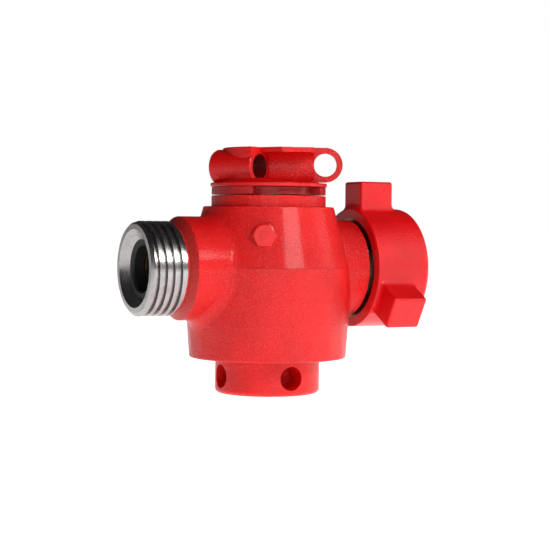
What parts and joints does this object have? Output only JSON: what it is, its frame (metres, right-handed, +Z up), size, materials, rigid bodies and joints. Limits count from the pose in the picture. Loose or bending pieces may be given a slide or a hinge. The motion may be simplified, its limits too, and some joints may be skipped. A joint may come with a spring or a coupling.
{
  "type": "plug valve",
  "caption": "Quarter-turn plug valve with a male hammer-union inlet, a lugged wing nut at the outlet, a bar socket cap and a bottom adjusting nut.",
  "frame": {"origin": "centre of the adjusting nut's bottom face, which the valve stands on", "axes": "+Z up the plug's axis, +X along the flow towards the wing nut, +Y completes the right hand"},
  "size_m": [0.3295, 0.1828, 0.2663],
  "materials": {
    "body_enamel": "gloss red enamel over forged steel, bare at the union thread and seat",
    "cap_enamel": "gloss red enamel over cast steel",
    "wing_nut_enamel": "gloss red enamel over forged steel",
    "stop_plate_steel": "flame-cut steel with thin red overspray",
    "plug_steel": "ground hardened steel",
    "segment_steel": "machined steel",
    "fastener_steel": "turned steel",
    "snap_ring_steel": "yellow passivated spring steel",
    "bearing_brass": "turned bronze",
    "seal_rubber": "black nitrile rubber"
  },
  "bodies": {
    "root": {"valve_body": "body_enamel", "seal_segment_inlet": "segment_steel", "seal_segment_outlet": "segment_steel", "side_segment_front": "segment_steel", "side_segment_rear": "segment_steel", "face_seal_inlet": "seal_rubber", "face_seal_outlet": "seal_rubber", "segment_seat_ring": "segment_steel", "plug_thrust_ring": "bearing_brass", "stem_seal": "seal_rubber", "stop_pin": "fastener_steel", "grease_fitting": "cap_enamel", "grease_check_ball": "fastener_steel", "inlet_seal": "seal_rubber", "inlet_backup_ring": "bearing_brass"},
    "plug": {"plug": "plug_steel", "stop_plate": "stop_plate_steel", "cap": "cap_enamel", "cap_washer": "fastener_steel", "cap_screw": "fastener_steel"},
    "adjusting_nut": {"adjusting_nut": "cap_enamel", "trunnion_seal": "seal_rubber"},
    "union_retainer": {"union_snap_ring": "snap_ring_steel", "union_segment_1": "segment_steel", "union_segment_2": "segment_steel", "union_segment_3": "segment_steel"},
    "wing_nut": {"wing_nut": "wing_nut_enamel"}
  },
  "joints": [
    {"name": "plug_turn", "type": "hinge", "parent": "root", "child": "plug", "pos_m": [0, 0, 0.2], "axis": [0, 0, 1], "range_deg": [0, 90]},
    {"name": "adjusting_nut_turn", "type": "hinge", "parent": "root", "child": "adjusting_nut", "pos_m": [0, 0, 0.02], "axis": [0, 0, 1], "range_deg": [-30, 30]},
    {"name": "wing_nut_slide", "type": "slide", "parent": "root", "child": "union_retainer", "axis": [1, 0, 0], "range_m": [-0.0035, 0.017]},
    {"name": "wing_nut_spin", "type": "hinge", "parent": "union_retainer", "child": "wing_nut", "pos_m": [0.12, 0, 0.1353], "axis": [1, 0, 0], "continuous": true}
  ]
}
